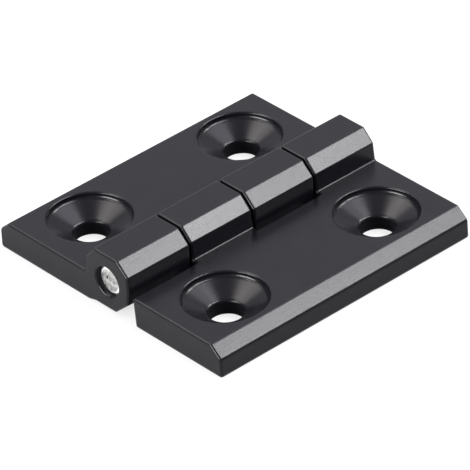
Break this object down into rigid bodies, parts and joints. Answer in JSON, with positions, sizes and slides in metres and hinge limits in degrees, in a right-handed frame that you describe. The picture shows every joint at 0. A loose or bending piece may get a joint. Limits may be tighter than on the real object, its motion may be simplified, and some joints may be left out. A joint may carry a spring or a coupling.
{
  "type": "cabinet hinge",
  "caption": "Die-cast butt hinge for a cabinet door: bevelled leaves with countersunk screw holes, and faceted barrels on a steel pin.",
  "frame": {"origin": "middle of the hinge, on the mounting faces, under the pin", "axes": "+Z out of the mounting faces, +Y along the pin, +X across from the left leaf to the right leaf, with the hinge laid open and flat"},
  "size_m": [0.05, 0.05, 0.0101],
  "materials": {
    "coated_zinc": "satin charcoal black coating on die-cast zinc alloy",
    "pin_steel": "bright cut steel"
  },
  "bodies": {
    "left": {"leaf_left": "coated_zinc", "hinge_pin": "pin_steel"},
    "right": {"leaf_right": "coated_zinc"}
  },
  "joints": [
    {"name": "leaf_swing", "type": "hinge", "parent": "left", "child": "right", "pos_m": [0, 0, 0.00525], "axis": [0, -1, 0], "range_deg": [-95, 180]}
  ]
}
